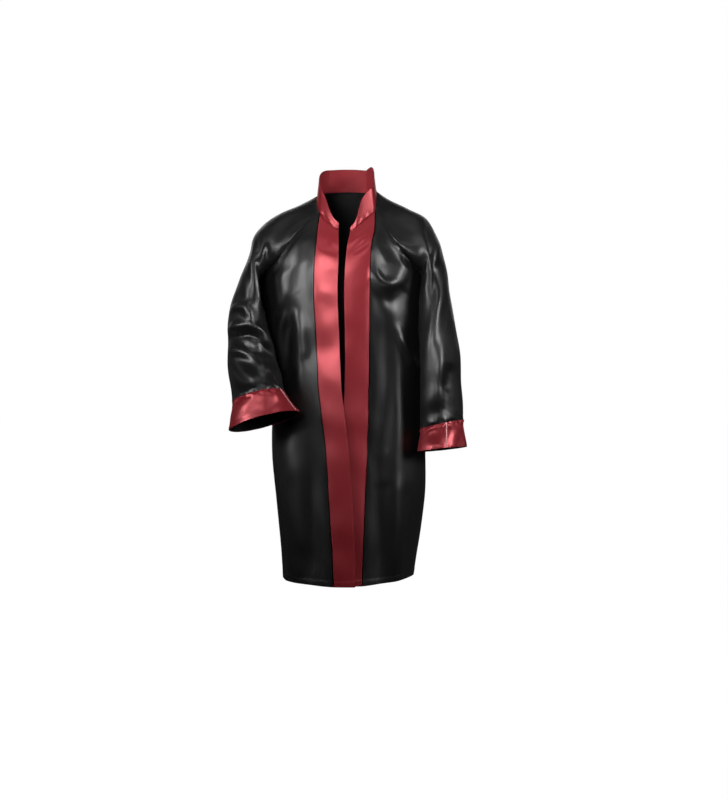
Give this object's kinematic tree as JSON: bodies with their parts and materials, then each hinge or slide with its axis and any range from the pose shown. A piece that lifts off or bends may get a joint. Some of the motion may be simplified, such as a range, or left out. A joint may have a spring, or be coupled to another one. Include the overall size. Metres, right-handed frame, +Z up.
{
  "type": "graduation gown",
  "caption": "Knee-length child's graduation gown of black satin with red satin front bands, stand collar and sleeve cuffs, open at the front and hanging as worn.",
  "frame": {"origin": "middle of the neckline at the height of the shoulders, where the wearer's shoulders hold it", "axes": "+Z up, -Y out of the front, -X towards the wearer's right arm"},
  "size_m": [0.4843, 0.332, 0.8474],
  "materials": {
    "black_satin": "satin",
    "red_satin": "satin"
  },
  "bodies": {
    "root": {"back_panel": "black_satin", "front_right_panel": "black_satin", "front_left_panel": "black_satin", "band_right": "red_satin", "band_left": "red_satin", "collar": "red_satin", "sleeve_right_front": "black_satin", "sleeve_right_back": "black_satin", "sleeve_left_front": "black_satin", "sleeve_left_back": "black_satin", "cuff_right": "red_satin", "cuff_left": "red_satin"}
  },
  "joints": []
}
